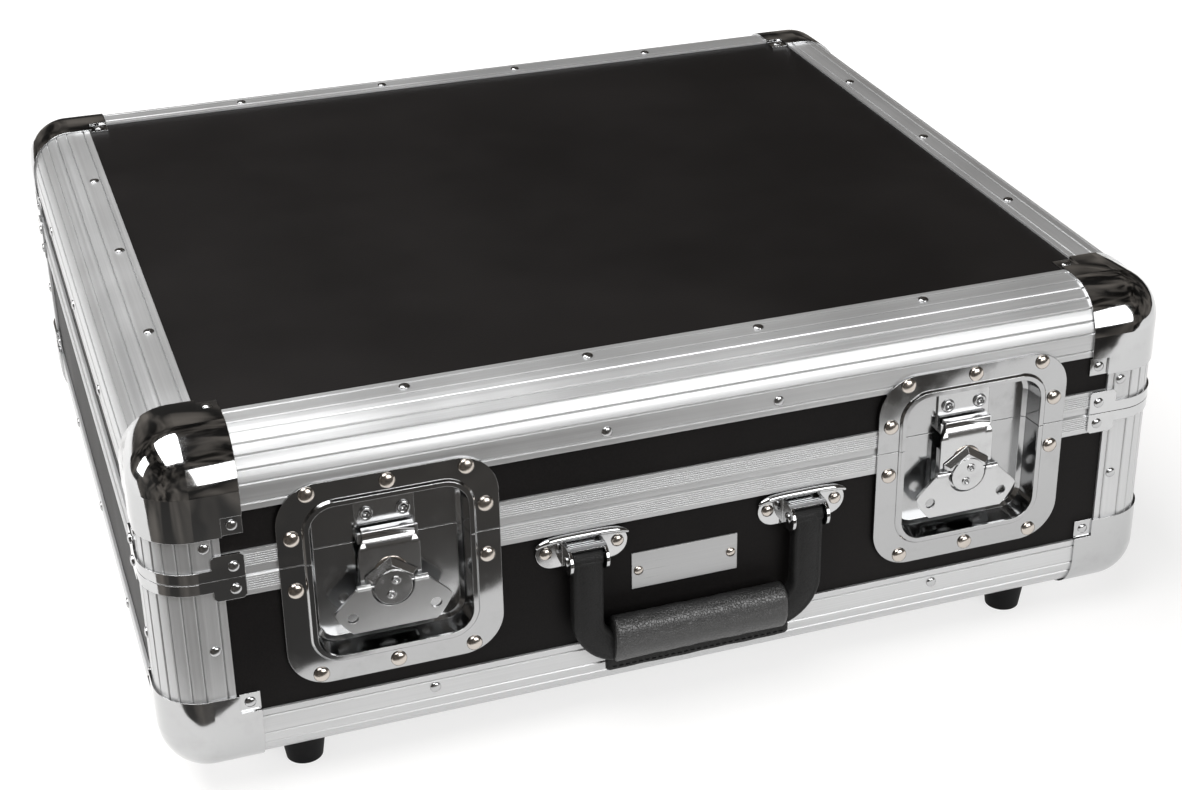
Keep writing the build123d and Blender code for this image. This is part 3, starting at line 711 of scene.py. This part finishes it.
grip = {
    "pitch": 57, "pivot": 87, "out": 6.6, "width": 15.5, "thickness": 9, "bottom": 26, "corner": 18.4,
    "strapPower": 4.2, "furrowDepth": 0.45, "furrowAt": 0.62, "furrowWidth": 0.09,
    "swells": ((0.012, 5.3, 1.0), (0.01, 11.7, 0.0)),  # share, waves along the strap, shift
    "eyeEdge": 1.1, "sleeveRoll": 1.6, "sleeveShrink": 0.16, "sleevePowers": (0.82, 0.74), "waist": 0.035,
    # share of the sleeve's size, waves along it, waves round it, shift
    "ripples": ((0.010, 9, 2, 0), (0.008, 23, -3, 1), (0.006, 41, 5, 0)),
    "sleeveHalf": 45, "sleeveHigh": 25, "sleeveDeep": 15, "sleeveOut": 8.3, "seamHalf": 48,
    "seamLow": 20.0, "seamHigh": 28.0, "seamOut": (5.4, 8.6), "stitchAbove": 2.6, "stitchPitch": 3.4,
}


def superOval(halfA, halfB, power, count):
    # closed outline |a/halfA|^power + |b/halfB|^power = 1, walked by angle
    angle = np.arange(count) * tau / count
    c, s = np.cos(angle), np.sin(angle)
    return np.stack([
        halfA * np.sign(c) * np.abs(c) ** (2 / power),
        halfB * np.sign(s) * np.abs(s) ** (2 / power),
    ], axis=-1)


def strapPath(g):
    # down one leg, round a quarter circle, along the bottom, round again and up the other leg
    low = g["bottom"] + g["width"] / 2
    r, x = g["corner"], g["pitch"]
    turn = np.linspace(0, np.pi / 2, 13)
    legs = np.linspace(g["pivot"], low + r, 18)
    left = np.stack([np.full(legs.size, -x), legs], -1)
    bend = np.stack([-x + r - r * np.cos(turn), low + r - r * np.sin(turn)], -1)[1:]
    flat = np.linspace(-x + r, x - r, 30)[1:-1]
    run = np.stack([flat, np.full(flat.size, low)], -1)
    half = np.concatenate([left, bend])
    return np.concatenate([half, run, half[::-1] * (-1, 1)])


def carried(path, outline):
    # every path point carries the outline: its first number goes across the path, its second outward
    ahead = np.gradient(path, axis=0)
    ahead /= np.linalg.norm(ahead, axis=1, keepdims=True)
    across = np.stack([-ahead[:, 1], ahead[:, 0]], -1)
    spot = path[:, None] + across[:, None] * outline[..., :1]
    return spot, outline[..., 1]


def makeStrap(g):
    path = strapPath(g)
    outline = superOval(g["width"] / 2, g["thickness"] / 2, g["strapPower"], 36)
    # the front face carries two shallow stitched furrows a little inside its edges
    across = outline[:, 0] / (g["width"] / 2)
    beside = (np.abs(across) - g["furrowAt"]) / g["furrowWidth"]
    furrow = g["furrowDepth"] * np.exp(-beside ** 2) * (outline[:, 1] > 0)
    outline = outline - np.stack([np.zeros(furrow.size), furrow], -1)
    outline = np.broadcast_to(outline, (len(path), *outline.shape))
    # slow uneven swelling of the padded strap, by two sines of the way along it
    way = np.linspace(0, 1, len(path))[:, None]
    swell = 1 + sum(share * np.sin(tau * waves * way + shift) for share, waves, shift in g["swells"])
    outline = outline * np.stack([np.ones_like(swell), swell], -1)
    spot, out = carried(path, outline)
    points = onWall("front", spot[..., 0], spot[..., 1], g["out"] + out)
    return gridObject("handleStrap", points, handleHide)


def makeLoops(g):
    # the strap's eyes round the pins: a short barrel with rounded ends
    ends = np.radians(np.linspace(90, 0, 5))
    half, r, edge = g["width"] / 2, g["thickness"] / 2, g["eyeEdge"]
    rows = np.concatenate([half - edge + edge * np.sin(ends), -(half - edge) - edge * np.sin(ends[::-1])])
    size = np.concatenate([r - edge + edge * np.cos(ends), r - edge + edge * np.cos(ends[::-1])])
    angle = np.arange(28) * tau / 28
    pieces = []
    for side in (-1, 1):
        pieces.append(onWall(
            "front",
            np.broadcast_to(side * g["pitch"] + rows[:, None], (rows.size, angle.size)),
            g["pivot"] + size[:, None] * np.cos(angle),
            g["out"] + size[:, None] * np.sin(angle),
        ))
    return gridObject("handleEyes", np.stack(pieces), handleHide)


def makeSleeve(g):
    # along x: a rounded outline, fuller at the top and drawn in towards the seam below;
    # its radius is changed by slow sines and its ends roll in by a quarter circle
    angle = np.arange(56) * tau / 56
    c, s = np.cos(angle), np.sin(angle)
    highPower, deepPower = g["sleevePowers"]
    high = g["sleeveHigh"] / 2 * np.sign(s) * np.abs(s) ** highPower
    deep = g["sleeveDeep"] / 2 * np.sign(c) * np.abs(c) ** deepPower
    drawn = 1 - 0.30 * np.clip((-high / (g["sleeveHigh"] / 2) - 0.15) / 0.85, 0, 1) ** 1.3
    roll = np.radians([0, 25, 50, 70])
    flat = g["sleeveHalf"] - g["sleeveRoll"]
    inner = np.linspace(-flat, flat, 46)
    rolled = flat + g["sleeveRoll"] * np.cos(roll)
    x = np.concatenate([-rolled, inner, rolled[::-1]])
    closing = 1 - g["sleeveShrink"] * (1 - np.sin(roll))
    shrink = np.concatenate([closing, np.ones(inner.size), closing[::-1]])
    along = x[:, None] / g["sleeveHalf"]
    wave = sum(share * np.sin(k * along + n * angle + shift) for share, k, n, shift in g["ripples"])
    waist = 1 - g["waist"] * (1 - along ** 2)
    size = shrink[:, None] * (waist + wave * np.clip(1.6 - np.abs(along) * 1.6, 0, 1)) * 0.985
    middle = g["bottom"] + g["sleeveHigh"] / 2
    x = np.broadcast_to(x[:, None], size.shape)
    points = onWall("front", x, middle + high * size, g["sleeveOut"] + deep * drawn * size)
    return gridObject("handleSleeve", points, sleeveHide)


def makeSeam(g):
    # a flat lip under the sleeve with rounded edges; it dips and lifts a little along its run
    halfHigh, halfDeep = (g["seamHigh"] - g["seamLow"]) / 2, (g["seamOut"][1] - g["seamOut"][0]) / 2
    outline = superOval(halfHigh, halfDeep, 3.4, 24)
    x = np.linspace(-g["seamHalf"], g["seamHalf"], 60)
    end = 1 - np.clip(np.abs(x) / g["seamHalf"] - 0.985, 0, 1) * 14
    lift = 0.25 * np.sin(x * 0.16) + 0.18 * np.sin(x * 0.41 + 1)
    middle = (g["seamHigh"] + g["seamLow"]) / 2
    return gridObject("handleSeam", onWall(
        "front", np.broadcast_to(x[:, None], (x.size, len(outline))),
        middle + 0.3 + outline[:, 0] * end[:, None] + lift[:, None] * 0.5 * (outline[:, 0] < 0),
        sum(g["seamOut"]) / 2 + outline[:, 1] * end[:, None],
    ), handleHide)


def makeStitches(g):
    # short capsules lying along the seam's front
    x = np.arange(-g["seamHalf"] + 4, g["seamHalf"] - 3, g["stitchPitch"])
    along = np.array([-1.15, -0.95, -0.4, 0.4, 0.95, 1.15])
    thick = np.array([0.08, 0.24, 0.34, 0.34, 0.24, 0.08])
    angle = np.arange(8) * tau / 8
    shape = (x.size, along.size, angle.size)
    return gridObject("handleStitches", onWall(
        "front",
        np.broadcast_to(x[:, None, None] + along[:, None], shape),
        np.broadcast_to(g["seamLow"] + g["stitchAbove"] + thick[:, None] * np.sin(angle), shape),
        np.broadcast_to(g["seamOut"][1] + 0.05 + thick[:, None] * np.cos(angle), shape),
    ), stitchThread)


stitchThread = rubber("stitchThread")
strap = makeStrap(grip)
for piece in (strap, makeLoops(grip), makeSleeve(grip), makeSeam(grip), makeStitches(grip)):
    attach(piece, "handle")
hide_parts("handle")
print("handle:", len(strap.data.polygons), "faces on the strap")


# foam lining

foam = {"halfX": 247, "halfY": 215, "bayX": 228, "bayY": 178, "low": 10.3, "high": 108.7, "floor": 24.3,
        "padLow": 145.7, "padHigh": 165.7, "slope": 16}


def roundedLoop(halfX, halfY, radius, perCorner=7, perSide=14):
    # a rectangle with quarter circles at its corners, walked counter-clockwise
    turn = np.linspace(0, np.pi / 2, perCorner)
    points = []
    for quarter, (sx, sy) in enumerate(((1, 1), (-1, 1), (-1, -1), (1, -1))):
        angle = turn + quarter * np.pi / 2
        centre = np.array([sx * (halfX - radius), sy * (halfY - radius)])
        arc = centre + radius * np.stack([np.cos(angle), np.sin(angle)], -1)
        nextSign = ((-1, 1), (-1, -1), (1, -1), (1, 1))[quarter]
        target = np.array([nextSign[0] * (halfX - radius), nextSign[1] * (halfY - radius)])
        target = target + radius * np.array([np.cos(angle[-1]), np.sin(angle[-1])])
        way = np.linspace(0, 1, perSide + 2)[1:-1, None]
        points += [arc, arc[-1] * (1 - way) + target * way]
    return np.concatenate(points)


def foamObject(name, rows, body, node):
    # rows of rounded rectangles from one face, round the block, to the other;
    # soft edges come from close rows
    grid = []
    for halfX, halfY, radius, level, sag in rows:
        loop = roundedLoop(halfX, halfY, radius)
        dip = sag * np.sin(loop[:, 0] * 0.021 + 1) * np.sin(loop[:, 1] * 0.026)
        grid.append(np.stack([loop[:, 0], case["middle"] + loop[:, 1], case["foot"] + level + dip], -1))
    made = gridObject(name, np.array(grid) * mm, liningFoam)
    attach(made, body)
    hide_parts(node)


f = foam
foamObject("baseLining", [
    (f["halfX"] - f["slope"], f["halfY"] - f["slope"], 8, f["low"] + 0.2, 0),
    (f["halfX"] - f["slope"] + 1, f["halfY"] - f["slope"] + 1, 9, f["low"] + 1.0, 0),
    (f["halfX"], f["halfY"], 20, f["low"] + f["slope"], 0),
    (f["halfX"], f["halfY"], 20, f["high"] - 3, 0),
    (f["halfX"] - 0.8, f["halfY"] - 0.8, 20, f["high"] - 1.2, 0.1),
    (f["halfX"] - 2.8, f["halfY"] - 2.8, 19, f["high"] - 0.4, 0.2),
    (f["bayX"] + 3.2, f["bayY"] + 3.2, 6, f["high"] - 0.4, 0.2),
    (f["bayX"] + 1.0, f["bayY"] + 1.0, 5, f["high"] - 1.4, 0.1),
    (f["bayX"] + 0.2, f["bayY"] + 0.2, 4.4, f["high"] - 3.6, 0),
    (f["bayX"] + 0.1, f["bayY"] + 0.1, 4.2, f["floor"] + 2.0, 0),
    (f["bayX"] - 0.6, f["bayY"] - 0.6, 4, f["floor"] + 0.3, 0),
    (f["bayX"] - 2.4, f["bayY"] - 2.4, 4, f["floor"] - 0.1, 0),
    (f["bayX"] - 60, f["bayY"] - 50, 4, f["floor"] - 0.2, 0.15),
    (60, 40, 4, f["floor"] - 0.2, 0.1),
], "base", "base_foam")
foamObject("lidPad", [
    (60, 40, 4, f["padLow"] + 0.3, 0.2),
    (f["halfX"] - 60, f["halfY"] - 50, 8, f["padLow"] + 0.3, 0.25),
    (f["halfX"] - 5, f["halfY"] - 5, 18, f["padLow"] + 0.4, 0.1),
    (f["halfX"] - 1.5, f["halfY"] - 1.5, 20, f["padLow"] + 1.4, 0),
    (f["halfX"], f["halfY"], 20, f["padLow"] + 3.9, 0),
    (f["halfX"] - f["slope"] + 1, f["halfY"] - f["slope"] + 1, 9, f["padHigh"] - 1.0, 0),
    (f["halfX"] - f["slope"], f["halfY"] - f["slope"], 8, f["padHigh"] - 0.2, 0),
], "lid", "lid_foam")
print("foam: two pieces")


# floor, studio and the camera

stage = {
    # unit steps on the floor, along the camera's right and along its view
    "side": (0.9391, -0.3435), "ahead": (0.3435, 0.9391),
    "table": (-1.5, 1.5, -0.365, 1.9), "room": (-3.2, 3.2, -1.2, 3.0),
    "grey": 0.32, "glow": (0.72, 1.0), "glowFrom": (0.4, 0.8),
    "wallGrey": 0.10, "patch": (0.20, 0.18, 0.16), "worldLight": 0.5,
}


def plainPaint(name, grey):
    paint = Finish(name)
    paint.surface.inputs["Specular IOR Level"].default_value = 0.0
    paint.paint(Base_Color=(grey, grey * 0.98, grey * 0.96, 1), Roughness=0.9)
    return paint


def sheet(name, corners, faces, paint):
    mesh = bpy.data.meshes.new(name)
    mesh.from_pydata(corners, [], faces)
    mesh.materials.append(paint.material)
    made = bpy.data.objects.new(name, mesh)
    bpy.context.collection.objects.link(made)
    return made


def makeStage(st):
    # a pale table that ends just in front of the case, in a dark room that only light and reflections meet;
    # to the camera and in mirrors the table brightens away from the case, until it meets the white behind it
    table = plainPaint("tablePaint", st["grey"])
    away = table.node("VectorMath", {"operation": "LENGTH"}, [table.place()], out="Value")
    glow = away.range(*st["glowFrom"], *st["glow"]) * table.seen()
    table.paint(Emission_Color=(1, 1, 1, 1), Emission_Strength=glow)
    left, right, near, far = st["table"]
    side, ahead = np.array(st["side"]), np.array(st["ahead"])
    spots = [side * a + ahead * b for a, b in ((left, near), (right, near), (right, far), (left, far))]
    floor = sheet("floor", [(*spot, 0) for spot in spots], [(0, 1, 2, 3)], table)
    near, far, low, high = st["room"]
    square = ((near, near), (far, near), (far, far), (near, far))
    corners = [(x, y, z) for z in (low, high) for x, y in square]
    faces = [(0, 1, 5, 4), (1, 2, 6, 5), (2, 3, 7, 6), (3, 0, 4, 7), (4, 5, 6, 7), (0, 3, 2, 1)]
    # large soft patches on the room's walls, which the bright fittings mirror as faint streaks
    walls = plainPaint("roomPaint", st["wallGrey"])
    patches = walls.noise(walls.place(), 0.9, 2, 0.5, 0.6).range(0.42, 0.72)
    walls.paint(Emission_Color=walls.mix(patches, (0.0, 0.0, 0.0), st["patch"]), Emission_Strength=1.0)
    room = sheet("room", corners, faces, walls)
    room.visible_camera = False


def makeWorld(light):
    # white to the camera, to mirrors and to glass, and less bright to the light on the object
    world = bpy.data.worlds.new("studio")
    bpy.context.scene.world = world
    world.use_nodes = True
    tree = world.node_tree
    path = tree.nodes.new("ShaderNodeLightPath")
    seen = path.outputs["Is Camera Ray"]
    for kind in ("Glossy", "Transmission"):
        either = tree.nodes.new("ShaderNodeMath")
        either.operation = "MAXIMUM"
        tree.links.new(seen, either.inputs[0])
        tree.links.new(path.outputs["Is %s Ray" % kind], either.inputs[1])
        seen = either.outputs[0]
    level = tree.nodes.new("ShaderNodeMapRange")
    level.inputs["To Min"].default_value = light
    level.inputs["To Max"].default_value = 1.0
    tree.links.new(seen, level.inputs["Value"])
    background = tree.nodes["Background"]
    background.inputs["Color"].default_value = (1, 1, 1, 1)
    tree.links.new(level.outputs[0], background.inputs["Strength"])


makeStage(stage)
makeWorld(stage["worldLight"])
for box in softboxes:
    makeSoftbox(*box)
makeCamera(photoView)
bpy.context.scene.view_settings.view_transform = "Standard"
print("studio: table, room, world,", len(softboxes), "softboxes and the camera")
